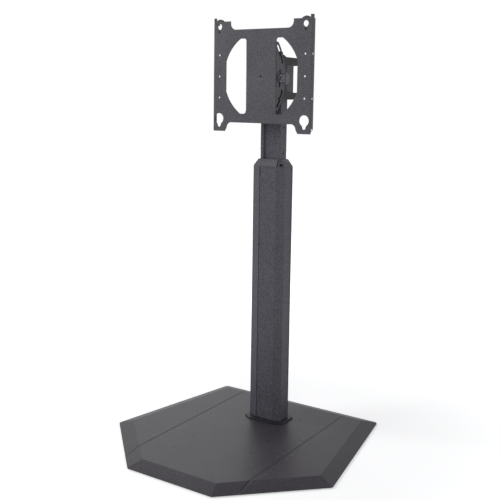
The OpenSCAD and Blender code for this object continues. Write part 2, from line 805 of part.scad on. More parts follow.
module face_half() {
    top = plate_h / 2;
    waist = waist_h / 2;
    difference() {
        union() {
            translate([-1, -waist]) square([plate_w / 2 + 1, 2 * waist]);
            translate([tab_inner_top, 0]) square([plate_w / 2 - tab_inner_top, top - 2.5]);
            polygon([[tab_inner_bottom, 0], [tab_inner_bottom, -waist - notch_low_r],
                     [tab_inner_bottom + tab_chamfer, -top], [plate_w / 2, -top], [plate_w / 2, 0]]);
            fillet(tab_inner_top, waist, notch_r, -1, 1);
            fillet(tab_inner_bottom, -waist, notch_low_r, -1, -1);
        }
        // Opening left by the folded ear
        difference() {
            intersection() {
                circle(r = window_r, $fn = 180);
                translate([fold_x, -window_z]) square([window_x - fold_x, 2 * window_z]);
            }
            for (s = [-1, 1]) fillet(fold_x, s * window_z, window_corner_r, 1, -s);
        }
        keyhole(keyhole_x, keyhole_z, 20, 10, 18);
        keyhole(keyhole_x, low_keyhole_z, 38, 14, 23);
        for (k = [-1:1]) translate([hole_x, k * hole_pitch]) circle(d = hole_d, $fn = 32);
        translate([rivet_x, rivet_z]) circle(d = rivet_d + 2 * press_gap, $fn = 32);
    }
}
module flange_outline() {
    top = plate_h / 2;
    difference() {
        union() {
            polygon([[0, 2.5 - top], [flange_d, 16 - top], [flange_d, top - 2.5], [0, top - 2.5]]);
            translate([3, 0]) square([9, top + 10]);
        }
        for (z = [flange_low_hole, -hole_pitch, hole_pitch])
            translate([10, z]) circle(d = flange_hole_d, $fn = 32);
    }
}
module head_plate() {
    color("gray") at_head() {
        difference() {
            across(0, plate_t) union() {
                face_half();
                mirror([1, 0]) face_half();
            }
            translate([0, -1, 0]) rotate([-90, 0, 0]) cylinder(h = plate_t + 2, d = middle_hole_d, $fn = 32);
        }
        both_sides() {
            along(ear_in, plate_t) ear_outline();
            along(plate_w / 2 - plate_t, plate_t) flange_outline();
        }
    }
}

// Latches that close the top keyholes
module latch_shape() {
    difference() {
        union() {
            translate([rivet_x, rivet_z]) circle(r = 6.5, $fn = 48);
            // Curved band over the keyhole, with the finger tip at its outer end
            intersection() {
                translate([keyhole_x, keyhole_z]) difference() {
                    circle(r = latch_lobe_r, $fn = 72);
                    circle(r = latch_inner_r, $fn = 72);
                }
                translate([keyhole_x - 20, keyhole_z + 8]) square([40.5, 20]);
            }
            translate([rivet_x + 2, rivet_z + 3]) square([6, latch_top - rivet_z - 3]);
            // Tongue that closes the keyhole's slot
            translate([keyhole_x, keyhole_z])
                polygon([[10.3, 8], [10.3, -3], [5.5, -10.5], [-6, -10.5], [-6, -19], [-2, -24.5],
                         [2.5, -24.5], [8, -18], [14, -7], [20, 8]]);
        }
        translate([rivet_x, rivet_z]) circle(d = rivet_d + 2 * press_gap + 0.1, $fn = 32);
    }
}
module latch() {
    color("dimgray") at_head() across(latch_y, latch_t) latch_shape();
}
module latch_rivets() {
    length = spring_y + spring_turns * spring_pitch + 2 * spring_wire;
    color("silver") at_head() both_sides() translate([rivet_x, 0, rivet_z]) rotate([-90, 0, 0]) {
        cylinder(h = length + 0.1, d = rivet_d, $fn = 32);
        translate([0, 0, length]) cylinder(h = 2, d = 11, $fn = 32);
    }
}

// Torsion spring on each rivet: a coil of round wire with two straight legs
function spring_point(t) =
    let (a = 360 * t)
    [(spring_r + 0.4) * cos(a), spring_wire / 2 + 0.15 + spring_pitch * t, (spring_r + 0.4) * sin(a)];
spring_steps = 16;
spring_path = concat(
    [spring_point(0) + [0, 0, -9]],
    [for (i = [0:spring_turns * spring_steps]) spring_point(i / spring_steps)],
    [spring_point(spring_turns) + [0, 0, 9]]
);
function ring(path, i, r, n) =
    let (a = path[max(i - 1, 0)], b = path[min(i + 1, len(path) - 1)], t = unit(b - a),
         u = unit(cross(t, [0, 1, 0])), v = cross(u, t))
    [for (k = [0:n - 1]) path[i] + r * (cos(360 * k / n) * u + sin(360 * k / n) * v)];
module tube(path, r, n) {
    m = len(path);
    points = [for (i = [0:m - 1]) each ring(path, i, r, n)];
    sides = [for (i = [0:m - 2]) for (k = [0:n - 1]) let (a = i * n + k, b = i * n + (k + 1) % n)
        each [[a, b + n, b], [a, a + n, b + n]]];
    ends = [[for (k = [0:n - 1]) k], [for (k = [n - 1:-1:0]) (m - 1) * n + k]];
    polyhedron(points, concat(sides, ends));
}
module latch_springs() {
    color("silver") at_head() both_sides() translate([rivet_x, spring_y, rivet_z])
        tube(spring_path, spring_wire / 2, 6);
}

base_center();
mirror([1, 0, 0]) wing();  // left_wing
wing();  // right_wing
mirror([1, 0, 0]) rail();  // rail_left
rail();  // rail_right
mirror([1, 0, 0]) wing_rib();  // wing_rib_left
wing_rib();  // wing_rib_right
rail_screws();
center_feet();
mirror([1, 0, 0]) wing_feet();  // wing_feet_left
wing_feet();  // wing_feet_right
mirror([1, 0, 0]) leaf_row(-1, [0, 2]);  // center_leaves_left
leaf_row(-1, [0, 2]);  // center_leaves_right
mirror([1, 0, 0]) leaf_row(1, [1]);  // wing_leaves_left
leaf_row(1, [1]);  // wing_leaves_right
mirror([1, 0, 0]) hinge_pins();  // hinge_pins_left
hinge_pins();  // hinge_pins_right
both_sides() hinge_screws(-1);  // center_hinge_screws
mirror([1, 0, 0]) hinge_screws(1);  // wing_screws_left
hinge_screws(1);  // wing_screws_right
anchor_plate();
mast_bolts();
foot_plate();
lower_column();
collar();
collar_liner();
collar_screws();
upper_column();
mast_glide();
column_cap();
tilt_yoke();
rear_clamp();
clamp_bolts();
guide_pins();
pin_nuts();
pin_washers();
lock_nut();
lock_washer();
lock_stud();
tilt_knob();
head_plate();
mirror([1, 0, 0]) latch();  // latch_left
latch();  // latch_right
latch_rivets();
latch_springs();
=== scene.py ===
import json
import math

import bmesh
import bpy
from mathutils import Matrix, Vector

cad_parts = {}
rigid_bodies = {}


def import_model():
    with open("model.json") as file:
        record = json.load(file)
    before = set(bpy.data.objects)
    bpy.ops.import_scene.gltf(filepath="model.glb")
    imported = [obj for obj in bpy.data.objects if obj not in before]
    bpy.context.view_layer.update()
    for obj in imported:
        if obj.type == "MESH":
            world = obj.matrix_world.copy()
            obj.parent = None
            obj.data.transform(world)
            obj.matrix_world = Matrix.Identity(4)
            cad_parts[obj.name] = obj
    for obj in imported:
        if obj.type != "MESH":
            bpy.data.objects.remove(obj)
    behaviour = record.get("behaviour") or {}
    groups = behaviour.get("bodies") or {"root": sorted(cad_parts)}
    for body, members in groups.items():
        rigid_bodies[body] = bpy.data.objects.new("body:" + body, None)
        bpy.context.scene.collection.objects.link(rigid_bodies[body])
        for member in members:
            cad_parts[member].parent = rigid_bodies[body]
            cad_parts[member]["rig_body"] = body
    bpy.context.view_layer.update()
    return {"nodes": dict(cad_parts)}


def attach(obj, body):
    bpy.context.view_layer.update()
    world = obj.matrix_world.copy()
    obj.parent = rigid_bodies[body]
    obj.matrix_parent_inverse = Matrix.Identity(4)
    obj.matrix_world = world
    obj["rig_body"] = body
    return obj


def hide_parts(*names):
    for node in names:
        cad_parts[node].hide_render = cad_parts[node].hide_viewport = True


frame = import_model()
scene = bpy.context.scene
scene.view_settings.view_transform = "Standard"

# The photograph's camera, fitted to the straight edges of the base, the column and the head plate.
# It stands in front of the stand, to its right, and looks down a little.
PHOTO_PIXELS = 500
FOCAL_PIXELS = 795.89
AXIS_PIXEL = (276.27, 216.16)
SENSOR = 36.0
CLIP_NEAR = 0.05
CLIP_FAR = 60
CAMERA_AT = Vector((1.5439, -2.2643, 1.2056))
CAMERA_YAW = math.radians(31.9006)
CAMERA_PITCH = math.radians(8.0655)
CAMERA_ROLL = math.radians(1.0554)

camera_data = bpy.data.cameras.new("camera")
camera_data.sensor_width = SENSOR
camera_data.lens = FOCAL_PIXELS / PHOTO_PIXELS * SENSOR
camera_data.shift_x = (PHOTO_PIXELS / 2 - AXIS_PIXEL[0]) / PHOTO_PIXELS
camera_data.shift_y = (AXIS_PIXEL[1] - PHOTO_PIXELS / 2) / PHOTO_PIXELS
camera_data.clip_start = CLIP_NEAR
camera_data.clip_end = CLIP_FAR
camera = bpy.data.objects.new("camera", camera_data)
scene.collection.objects.link(camera)
scene.camera = camera
forward = Vector((-math.sin(CAMERA_YAW) * math.cos(CAMERA_PITCH),
                  math.cos(CAMERA_YAW) * math.cos(CAMERA_PITCH), -math.sin(CAMERA_PITCH)))
level = Vector((math.cos(CAMERA_YAW), math.sin(CAMERA_YAW), 0))
upright = level.cross(forward)
right = math.cos(CAMERA_ROLL) * level + math.sin(CAMERA_ROLL) * upright
up = math.cos(CAMERA_ROLL) * upright - math.sin(CAMERA_ROLL) * level
turn = Matrix((right, up, -forward)).transposed()
camera.matrix_world = Matrix.Translation(CAMERA_AT) @ turn.to_4x4()

# A plain studio: a pale floor that keeps the stand's shadow, a white surround and large soft lamps.
# The floor is lifted towards white, less near the stand than far from it.
FLOOR_SIZE = 30.0
FLOOR_TONE = "#f2f2f2"
SURROUND_TINT = "#f4f6fb"
SURROUND_LIGHT = 0.26
WHITE = "#ffffff"
NEAR_LIFT = 0.46
FAR_LIFT = 0.95
NEAR_REACH = 0.5
FAR_REACH = 2.2
# Each lamp's place, the point it looks at, its size in metres and its power in watts.
LAMPS = {"key": ((-3.0, -2.0, 2.9), (0, 0, 0.8), 2.4, 76),
         "fill": ((2.1, -3.3, 2.2), (0, 0, 0.8), 2.2, 28),
         "side": ((3.1, 0.8, 1.6), (0, 0.15, 1.0), 1.4, 9),
         "back": ((-2.6, 2.4, 2.6), (0, 0.2, 0.6), 2.6, 30)}


def linear(hex_colour):
    """An sRGB hex colour as linear red, green, blue and alpha."""
    parts = [int(hex_colour[i:i + 2], 16) / 255 for i in (1, 3, 5)]
    return (*[c / 12.92 if c <= 0.04045 else ((c + 0.055) / 1.055) ** 2.4 for c in parts], 1.0)


def add(tree, kind, links=None, values=None, **settings):
    """Adds a node. Links and values are for its inputs, settings are its attributes."""
    node = tree.nodes.new(kind)
    for key, value in settings.items():
        setattr(node, key, value)
    for key, value in (values or {}).items():
        node.inputs[key].default_value = value
    for key, socket in (links or {}).items():
        tree.links.new(socket, node.inputs[key])
    return node


def white_seen(tree):
    """One for a ray from the camera, a mirror or a glass, otherwise nought."""
    path = add(tree, "ShaderNodeLightPath").outputs
    either = add(tree, "ShaderNodeMath", {0: path["Is Camera Ray"], 1: path["Is Glossy Ray"]},
                 operation="MAXIMUM")
    return add(tree, "ShaderNodeMath", {0: either.outputs[0], 1: path["Is Transmission Ray"]},
               operation="MAXIMUM").outputs[0]


def bare_material(name):
    """A new material, its emptied tree, and the socket with each point's place on the piece."""
    material = bpy.data.materials.new(name)
    material.use_nodes = True
    tree = material.node_tree
    tree.nodes.clear()
    return material, tree, add(tree, "ShaderNodeTexCoord").outputs["Object"]


world = bpy.data.worlds.new("studio")
scene.world = world
world.use_nodes = True
sky = world.node_tree
sky.nodes.clear()
dim = add(sky, "ShaderNodeBackground", None,
          {"Color": linear(SURROUND_TINT), "Strength": SURROUND_LIGHT})
bright = add(sky, "ShaderNodeBackground", None, {"Color": linear(WHITE), "Strength": 1.0})
mixed = add(sky, "ShaderNodeMixShader",
            {0: white_seen(sky), 1: dim.outputs[0], 2: bright.outputs[0]})
add(sky, "ShaderNodeOutputWorld", {"Surface": mixed.outputs[0]})

half = FLOOR_SIZE / 2
floor_mesh = bpy.data.meshes.new("floor")
floor_mesh.from_pydata([(-half, -half, 0), (half, -half, 0), (half, half, 0), (-half, half, 0)],
                       [], [(0, 1, 2, 3)])
floor = bpy.data.objects.new("floor", floor_mesh)
scene.collection.objects.link(floor)
paint, tree, place = bare_material("studio_floor")
matte = add(tree, "ShaderNodeBsdfDiffuse", None, {"Color": linear(FLOOR_TONE)})
away = add(tree, "ShaderNodeVectorMath", {0: place}, operation="LENGTH").outputs["Value"]
lifts = {"From Min": NEAR_REACH, "From Max": FAR_REACH, "To Min": NEAR_LIFT, "To Max": FAR_LIFT}
lift = add(tree, "ShaderNodeMapRange", {"Value": away}, lifts, interpolation_type="SMOOTHSTEP")
strength = add(tree, "ShaderNodeMath", {0: white_seen(tree), 1: lift.outputs[0]},
               operation="MULTIPLY")
glow = add(tree, "ShaderNodeEmission", {"Strength": strength.outputs[0]},
           {"Color": linear(WHITE)})
summed = add(tree, "ShaderNodeAddShader", {0: matte.outputs[0], 1: glow.outputs[0]})
add(tree, "ShaderNodeOutputMaterial", {"Surface": summed.outputs[0]})
floor_mesh.materials.append(paint)

for name, (place, target, size, power) in LAMPS.items():
    lamp_data = bpy.data.lights.new(name, "AREA")
    lamp_data.shape = "SQUARE"
    lamp_data.size = size
    lamp_data.energy = power
    lamp = bpy.data.objects.new(name, lamp_data)
    scene.collection.objects.link(lamp)
    lamp.location = place
    lamp.rotation_euler = (Vector(target) - Vector(place)).to_track_quat("-Z", "Y").to_euler()

# The base's three pans. Each is 2.5 mm steel sheet, pressed to a sloping border with a small lip
# and a turned-down flange at the seam. Screws lie countersunk in the deck. The satin coat shows an
# even charcoal with a fine grain and one broad soft sheen.
MM = 0.001
SIDES = ((-1, "left"), (1, "right"))
FRONT_HALF = 172 * MM
DEPTH = 817 * MM
WIDEST_HALF = 454 * MM
WIDEST_Y = -144.5 * MM
REAR_HALF = 351.5 * MM
SEAM_X = 230 * MM
SEAM_HALF_GAP = 0.3 * MM
CORNER_R = 14 * MM
DECK = 22.6 * MM
BORDER = 51 * MM
LIP_LOW = 3.4 * MM
LIP_HIGH = 6.4 * MM
LIP_CHAMFER = 0.4 * MM
SHEET = 2.5 * MM
# The break between lip and slope: how far it reaches below and above the edge, and how far in.
BREAK_BELOW, BREAK_ABOVE, BREAK_IN = 0.5 * MM, 0.4 * MM, 0.22 * MM
SLOPE = math.atan((DECK - LIP_HIGH) / BORDER)
FOLD_R = 14 * MM
FOLD_TANGENT = FOLD_R * math.tan(SLOPE / 2)
FOLD_LOW = DECK - FOLD_TANGENT * math.sin(SLOPE)
SLOPE_STEPS = 4
# A corner's radius shrinks as the border rises, down to these, outside and inside the sheet.
CORNER_SHRINK = 0.5
LEAST_OUTER_R = 3 * MM
LEAST_INNER_R = 2 * MM
TIGHT_R = 0.2 * MM
ARC_STEPS = 5
# The seam's lips are rolled on the deck, and more gently down the slope from above the outer lip.
SEAM_ROUND = 1.7 * MM
SEAM_SLOPE_ROUND = 4.2 * MM
SEAM_SLOPE_START = 2 * MM
SEAM_LEAST_ROUND = 0.04
# A seam is open below its flange, and the opening stops short of the front and rear edges.
FLANGE_LOW = 8.0 * MM
FLANGE_FRONT_END = 14 * MM
FLANGE_REAR_END = 9 * MM
FLANGE_CLEARANCE = 0.2 * MM
HINGE_YS = [(-205 + 136 * i) * MM for i in range(4)]
HINGE_SCREW_X = 18.8 * MM
HINGE_SCREW_HALF = 17 * MM
RAIL_X = 122 * MM
RAIL_SCREW_YS = [((i - 3) * 112.5 - 4.5) * MM for i in range(7)]
COLUMN_Y = 188 * MM
SPARE_HOLES = [Vector((x * MM, y * MM, DECK)) for x in (-100, 100) for y in (284, 303)]
COLUMN_BOLTS = [Vector((x * MM, COLUMN_Y + y * MM, 0)) for x in (-44, 44) for y in (-14, 14)]
COAT_SHINE = 0.22
SPECKLE = 0.46
CLOUDS_PER_METRE = 9.0
EDGE_SEGMENTS = 2
EDGE_FROM = math.radians(32)
SHARP_IF_PLAIN = math.radians(34)
SHARP_IF_ROUNDED = math.radians(80)
WELD = 1e-6


def noise_span(low, high):
    """Map Range values that turn a noise's usual spread, 0.3 to 0.7, into low to high."""
    return {"From Min": 0.3, "From Max": 0.7, "To Min": low, "To Max": high}


def powder_coat(name, colour, roughness, grain_mm, relief, mottle=0.10):
    """Polyester powder coat baked on steel: fine orange-peel grain, even colour, soft highlights.

    The grain is drawn coarser than the real 0.3 mm so that it shows at this distance. Its pits
    shade each other, so the coat shines about half as much as a smooth one. Clouds 110 mm wide
    come from its uneven thickness.
    """
    material, tree, place = bare_material(name)
    cloud = add(tree, "ShaderNodeTexNoise", {"Vector": place},
                {"Scale": CLOUDS_PER_METRE, "Detail": 3.0, "Roughness": 0.6})
    shade = add(tree, "ShaderNodeMapRange", {"Value": cloud.outputs[0]},
                noise_span(1 - mottle, 1 + mottle))
    speck = add(tree, "ShaderNodeTexNoise", {"Vector": place},
                {"Scale": 1 / (grain_mm * MM), "Detail": 2.0, "Roughness": 0.55})
    grain = add(tree, "ShaderNodeMapRange", {"Value": speck.outputs[0]},
                noise_span(1 - SPECKLE, 1 + SPECKLE))
    tone = add(tree, "ShaderNodeMath", {0: shade.outputs[0], 1: grain.outputs[0]},
               operation="MULTIPLY")
    base = add(tree, "ShaderNodeVectorMath", {"Scale": tone.outputs[0]}, {0: linear(colour)[:3]},
               operation="SCALE")
    gloss = add(tree, "ShaderNodeMapRange", {"Value": speck.outputs[0]},
                noise_span(roughness - 0.05, roughness + 0.06))
    bump = add(tree, "ShaderNodeBump", {"Height": speck.outputs[0]},
               {"Strength": relief, "Distance": 0.2 * MM})
    shader = add(tree, "ShaderNodeBsdfPrincipled",
                 {"Base Color": base.outputs[0], "Roughness": gloss.outputs[0],
                  "Normal": bump.outputs[0]},
                 {"Metallic": 0.0, "IOR": 1.5, "Specular IOR Level": COAT_SHINE})
    add(tree, "ShaderNodeOutputMaterial", {"Surface": shader.outputs[0]})
    return material


def offset_corners(corners, insets):
    """A convex counterclockwise outline with its sides moved in. Side i runs on from corner i."""
    count = len(corners)
    sides = []
    for i in range(count):
        a, b = Vector(corners[i]), Vector(corners[(i + 1) % count])
        along = (b - a).normalized()
        normal = Vector((-along.y, along.x))
        sides.append((a + normal * insets[i], along))
    result = []
    for i in range(count):
        (p, u), (q, v) = sides[i - 1], sides[i]
        t = (q - p).cross(v) / u.cross(v)
        result.append(p + u * t)
    return result


def rounded_ring(corners, radii):
    """The outline with an arc of ARC_STEPS + 1 points at every corner."""
    ring = []
    count = len(corners)
    for i, corner in enumerate(corners):
        u = (corners[i - 1] - corner).normalized()
        v = (corners[(i + 1) % count] - corner).normalized()
        half = u.angle(v) / 2
        centre = corner + (u + v).normalized() * radii[i] / math.sin(half)
        first = corner + u * radii[i] / math.tan(half) - centre
        last = corner + v * radii[i] / math.tan(half) - centre
        start = math.atan2(first.y, first.x)
        sweep = (math.atan2(last.y, last.x) - start + math.pi) % math.tau - math.pi
        for k in range(ARC_STEPS + 1):
            a = start + sweep * k / ARC_STEPS
            ring.append(centre + radii[i] * Vector((math.cos(a), math.sin(a))))
    return ring


def loft(bm, rings, caps=True):
    """Joins rings of equal length into a skin, closed at both ends where caps is set."""
    rows = [[bm.verts.new(p) for p in ring] for ring in rings]
    count = len(rows[0])
    for low, high in zip(rows, rows[1:]):
        for i in range(count):
            j = (i + 1) % count
            bm.faces.new((low[i], low[j], high[j], high[i]))
    if caps:
        bm.faces.new(list(reversed(rows[0])))
        bm.faces.new(rows[-1])
    return rows


def to_mesh(bm, name):
    """A mesh from a bmesh, with doubles merged and faces turned outwards."""
    bmesh.ops.remove_doubles(bm, verts=bm.verts, dist=WELD)
    bmesh.ops.recalc_face_normals(bm, faces=bm.faces)
    mesh = bpy.data.meshes.new(name)
    bm.to_mesh(mesh)
    bm.free()
    return mesh


def baked(obj):
    """The object's mesh with its modifiers applied. The object itself is removed."""
    bpy.context.view_layer.update()
    depsgraph = bpy.context.evaluated_depsgraph_get()
    mesh = bpy.data.meshes.new_from_object(obj.evaluated_get(depsgraph))
    mesh.name = obj.name
    bpy.data.objects.remove(obj)
    return mesh


def cut(mesh, cutter):
    """The mesh less the cutter's mesh."""
    tool = bpy.data.objects.new("cutter", cutter)
    obj = bpy.data.objects.new("work", mesh)
    for o in (tool, obj):
        scene.collection.objects.link(o)
    modifier = obj.modifiers.new("cut", "BOOLEAN")
    modifier.operation = "DIFFERENCE"
    modifier.solver = "EXACT"
    modifier.object = tool
    result = baked(obj)
    bpy.data.objects.remove(tool)
    return result


def finish_piece(mesh, name, body, nodes, material, edge=0.0, flats=True):
    """Rounds the mesh's edges, evens its shading and puts it on its body for the CAD nodes."""
    if "custom_normal" in mesh.attributes:
        mesh.attributes.remove(mesh.attributes["custom_normal"])
    mesh.shade_smooth()
    obj = bpy.data.objects.new(name, mesh)
    scene.collection.objects.link(obj)
    if edge:
        bevel = obj.modifiers.new("edge", "BEVEL")
        bevel.width = edge
        bevel.segments = EDGE_SEGMENTS
        bevel.limit_method = "ANGLE"
        bevel.angle_limit = EDGE_FROM
        bevel.use_clamp_overlap = False
    if flats:
        even = obj.modifiers.new("even", "WEIGHTED_NORMAL")
        even.keep_sharp = True
    mesh.set_sharp_from_angle(angle=SHARP_IF_ROUNDED if edge else SHARP_IF_PLAIN)
    made = baked(obj)
    piece = bpy.data.objects.new(name, made)
    scene.collection.objects.link(piece)
    made.materials.clear()
    made.materials.append(material)
    for face in made.polygons:
        face.material_index = 0
    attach(piece, body)
    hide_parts(*nodes)


def pan_side(z):
    """How far the outside of a bordered edge lies in from the outline at height z."""
    if z <= LIP_HIGH:
        return 0.0
    if z <= FOLD_LOW:
        return (z - LIP_HIGH) / math.tan(SLOPE)
    drop = min(1.0, 1 - (DECK - z) / FOLD_R)
    return BORDER + FOLD_TANGENT - FOLD_R * math.sin(math.acos(drop))


def seam_in(z):
    """How far the rolled lip of a seam lies in from the seam's edge at height z."""
    rise = max(0.0, z - DECK + SEAM_ROUND)
    return SEAM_ROUND - math.sqrt(max(0.0, SEAM_ROUND ** 2 - rise ** 2))


def pan(corners, seams):
    """A pan's solid sheet. Seams holds the indices of the sides that have a turned-down flange."""
    count = len(corners)

    def ring(z, border, seam, radius, seam_radius=TIGHT_R):
        """The outline at height z, its sides moved in and its corners rounded."""
        moved = offset_corners(corners, [seam if i in seams else border for i in range(count)])
        plain = [i not in seams and (i - 1) % count not in seams for i in range(count)]
        radii = [max(radius, TIGHT_R) if plain[i] else seam_radius for i in range(count)]
        return [(p.x, p.y, z) for p in rounded_ring(moved, radii)]

    parts = [k / SLOPE_STEPS for k in range(1, SLOPE_STEPS + 1)]
    heights = {LIP_LOW + LIP_CHAMFER, LIP_HIGH - BREAK_BELOW, LIP_HIGH, LIP_HIGH + BREAK_ABOVE}
    heights |= {LIP_HIGH + (FOLD_LOW - LIP_HIGH) * part for part in parts[:-1]}
    heights |= {DECK - SEAM_ROUND, FOLD_LOW}
    heights |= {DECK - (DECK - FOLD_LOW) * (1 - part) ** 2 for part in parts}
    outside = [ring(LIP_LOW, LIP_CHAMFER, LIP_CHAMFER, CORNER_R - LIP_CHAMFER)]
    for z in sorted(heights):
        slide = pan_side(z)
        soften = BREAK_IN if z == LIP_HIGH else 0.0
        radius = max(CORNER_R - slide * CORNER_SHRINK, LEAST_OUTER_R)
        rolled = min(1.0, max(SEAM_LEAST_ROUND, (z - LIP_HIGH) / SEAM_SLOPE_START))
        outside.append(ring(z, slide + soften, seam_in(z), radius, SEAM_SLOPE_ROUND * rolled))
    lower_slope = LIP_HIGH - SHEET / math.cos(SLOPE)
    knee = lower_slope + SHEET * math.tan(SLOPE)
    inside = []
    for z in [LIP_LOW, knee] + [knee + (DECK - SHEET - knee) * part for part in parts]:
        slide = max(SHEET, (z - lower_slope) / math.tan(SLOPE))
        radius = max(CORNER_R - SHEET - slide * CORNER_SHRINK, LEAST_INNER_R)
        inside.append(ring(z, slide, SHEET, radius))
    bm = bmesh.new()
    top = loft(bm, outside, caps=False)
    under = loft(bm, inside, caps=False)
    bm.faces.new(top[-1])
    bm.faces.new(list(reversed(under[-1])))
    for i in range(len(top[0])):
        j = (i + 1) % len(top[0])
        bm.faces.new((top[0][j], top[0][i], under[0][i], under[0][j]))
    return bm


def add_box(bm, low, high):
    """A box between two corners."""
    size = Vector(high) - Vector(low)
    centre = (Vector(high) + Vector(low)) / 2
    for v in bmesh.ops.create_cube(bm, size=1.0)["verts"]:
        v.co = Vector((v.co.x * size.x, v.co.y * size.y, v.co.z * size.z)) + centre


def in_mm(pairs):
    """Pairs of millimetres in metres."""
    return [(a * MM, b * MM) for a, b in pairs]


def add_turned(bm, profile, place, steps=32):
    """A solid turned about an upright axis. The profile is (radius, height), ends at radius 0."""
    rows = []
    for radius, height in profile:
        turns = [math.tau * i / steps for i in range(steps)] if radius else [0.0]
        rows.append([bm.verts.new(Vector((radius * math.cos(a), radius * math.sin(a), height))
                                  + Vector(place)) for a in turns])
    for low, high in zip(rows, rows[1:]):
        for i in range(steps):
            j = (i + 1) % steps
            face = [low[i % len(low)], low[j % len(low)], high[j % len(high)], high[i % len(high)]]
            face = [v for k, v in enumerate(face) if v not in face[:k]]
            if len(face) > 2:
                bm.faces.new(face)


# Profiles of the holes through the deck, as radius and height over its face.
SCREW_HOLE = in_mm([(0, -12), (2.05, -12), (2.05, -2), (4.06, 0), (4.06, 1), (0, 1)])
BOLT_HOLE = in_mm([(0, -12), (4.3, -12), (4.3, 1), (0, 1)])
SPARE_HOLE = in_mm([(0, -12), (2, -12), (2, -0.3), (2.3, 0), (2.3, 1), (0, 1)])


def leaf_screws(side, part):
    """The hinge screws' places, left or right (-1, 1), in the middle pan or the wing (-1, 1)."""
    return [Vector((side * (SEAM_X + part * HINGE_SCREW_X), y + dy, DECK))
            for y in HINGE_YS for dy in (-HINGE_SCREW_HALF, HINGE_SCREW_HALF)]


def border_y(x):
    """Where the front diagonal edge lies at a distance x from the middle."""
    slant = (WIDEST_Y + DEPTH / 2) / (WIDEST_HALF - FRONT_HALF)
    return -DEPTH / 2 + (x - FRONT_HALF) * slant


def pierced(sheet, name, seam_xs, holes, bolts=(), spare=()):
    """Opens the seams below their flanges and pierces the screw holes."""
    bm = bmesh.new()
    front, rear = border_y(inner_edge) + FLANGE_FRONT_END, DEPTH / 2 - FLANGE_REAR_END
    reach = SHEET + FLANGE_CLEARANCE
    for x in seam_xs:
        add_box(bm, (x - reach, front, -MM), (x + reach, rear, FLANGE_LOW))
    opened = cut(to_mesh(sheet, name), to_mesh(bm, "under_flange"))
    bm = bmesh.new()
    for place in holes:
        add_turned(bm, SCREW_HOLE, place)
    for place in bolts:
        add_turned(bm, BOLT_HOLE, place + Vector((0, 0, DECK)))
    for place in spare:
        add_turned(bm, SPARE_HOLE, place)
    return cut(opened, to_mesh(bm, "screw_holes"))


coat_deck = powder_coat("powder_coat_satin_charcoal", "#3a373d", 0.46, 4.2, 0.30)
inner_edge = SEAM_X - SEAM_HALF_GAP
outer_edge = SEAM_X + SEAM_HALF_GAP
middle_corners = [(-FRONT_HALF, -DEPTH / 2), (FRONT_HALF, -DEPTH / 2),
                  (inner_edge, border_y(inner_edge)), (inner_edge, DEPTH / 2),
                  (-inner_edge, DEPTH / 2), (-inner_edge, border_y(inner_edge))]
wing_corners = [(outer_edge, border_y(outer_edge)), (WIDEST_HALF, WIDEST_Y),
                (REAR_HALF, DEPTH / 2), (outer_edge, DEPTH / 2)]
rail_screw_places = [Vector((side * RAIL_X, y, DECK)) for side in (-1, 1) for y in RAIL_SCREW_YS]
middle_leaf_places = leaf_screws(-1, -1) + leaf_screws(1, -1)
middle = pierced(pan(middle_corners, (2, 4)), "base_middle_pan", (-inner_edge, inner_edge),
                 middle_leaf_places + rail_screw_places, COLUMN_BOLTS, SPARE_HOLES)
finish_piece(middle, "base_middle_pan", "base", ["base_center"], coat_deck)
for side, word in SIDES:
    wing = pierced(pan(wing_corners, (3,)), word, (outer_edge,), leaf_screws(1, 1))
    if side < 0:
        wing.transform(Matrix.Diagonal((-1, 1, 1, 1)))
        wing.flip_normals()
    finish_piece(wing, f"{word}_wing_pan", f"{word}_wing", [f"{word}_wing"],
                 coat_deck)

# Two hat rails under the middle pan, one rib under each wing and the anchor plate under the column.
# They are folded or sawn from steel, hold the decks flat, and have a matt coat that shows no sheen.
RAIL_EDGE = 0.5 * MM
COPY_WELD = 2e-6
SAME_FACE = math.radians(0.4)
BEND_SEGMENTS = 5
coat_under = powder_coat("powder_coat_matt_charcoal", "#4a4a4e", 0.52, 1.6, 0.22)


def softened(node, name, material, edge, folds=None, fold_r=0.0):
    """A copy of a CAD node's mesh, its edges rounded. Folds picks the edges that are bends."""
    bm = bmesh.new()
    bm.from_mesh(frame["nodes"][node].data)
    bmesh.ops.remove_doubles(bm, verts=bm.verts, dist=COPY_WELD)
    bmesh.ops.dissolve_limit(bm, angle_limit=SAME_FACE, verts=bm.verts, edges=bm.edges)
    if folds:
        picked = [e for e in bm.edges if folds(e)]
        bmesh.ops.bevel(bm, geom=picked, offset=fold_r, segments=BEND_SEGMENTS, profile=0.5,
                        affect="EDGES")
    mesh = bpy.data.meshes.new(name)
    bm.to_mesh(mesh)
    bm.free()
    finish_piece(mesh, name, frame["nodes"][node]["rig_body"], [node], material, edge)


for _, word in SIDES:
    softened(f"rail_{word}", f"deck_rail_{word}", coat_under, RAIL_EDGE)
    softened(f"wing_rib_{word}", f"wing_stiffener_{word}", coat_under, RAIL_EDGE)
softened("anchor_plate", "column_anchor_plate", coat_under, RAIL_EDGE)

# Countersunk machine screws with a hexagon socket, each with its nut under the sheets. The rails'
# are black oxide, which stays nearly black. The hinges' are zinc plated with coated heads, and are
# drawn in that coat all over; it is lighter than the deck, a painted glint that shows each head.
HEAD_R = 4.0 * MM
HEAD_H = 2.0 * MM
HEAD_SIDES = 28
SHANK_R = 2.0 * MM
SHANK_SIDES = 20
SHANK_SUNK = 0.4 * MM
SOCKET_R = 1.5 * MM
SOCKET_DEEP = 1.3 * MM
NUT_R = 3.7 * MM
NUT_H = 2.6 * MM
NUT_BELOW = 3.5 * MM
HEXAGON = 6
SCREW_EDGE = 0.12 * MM


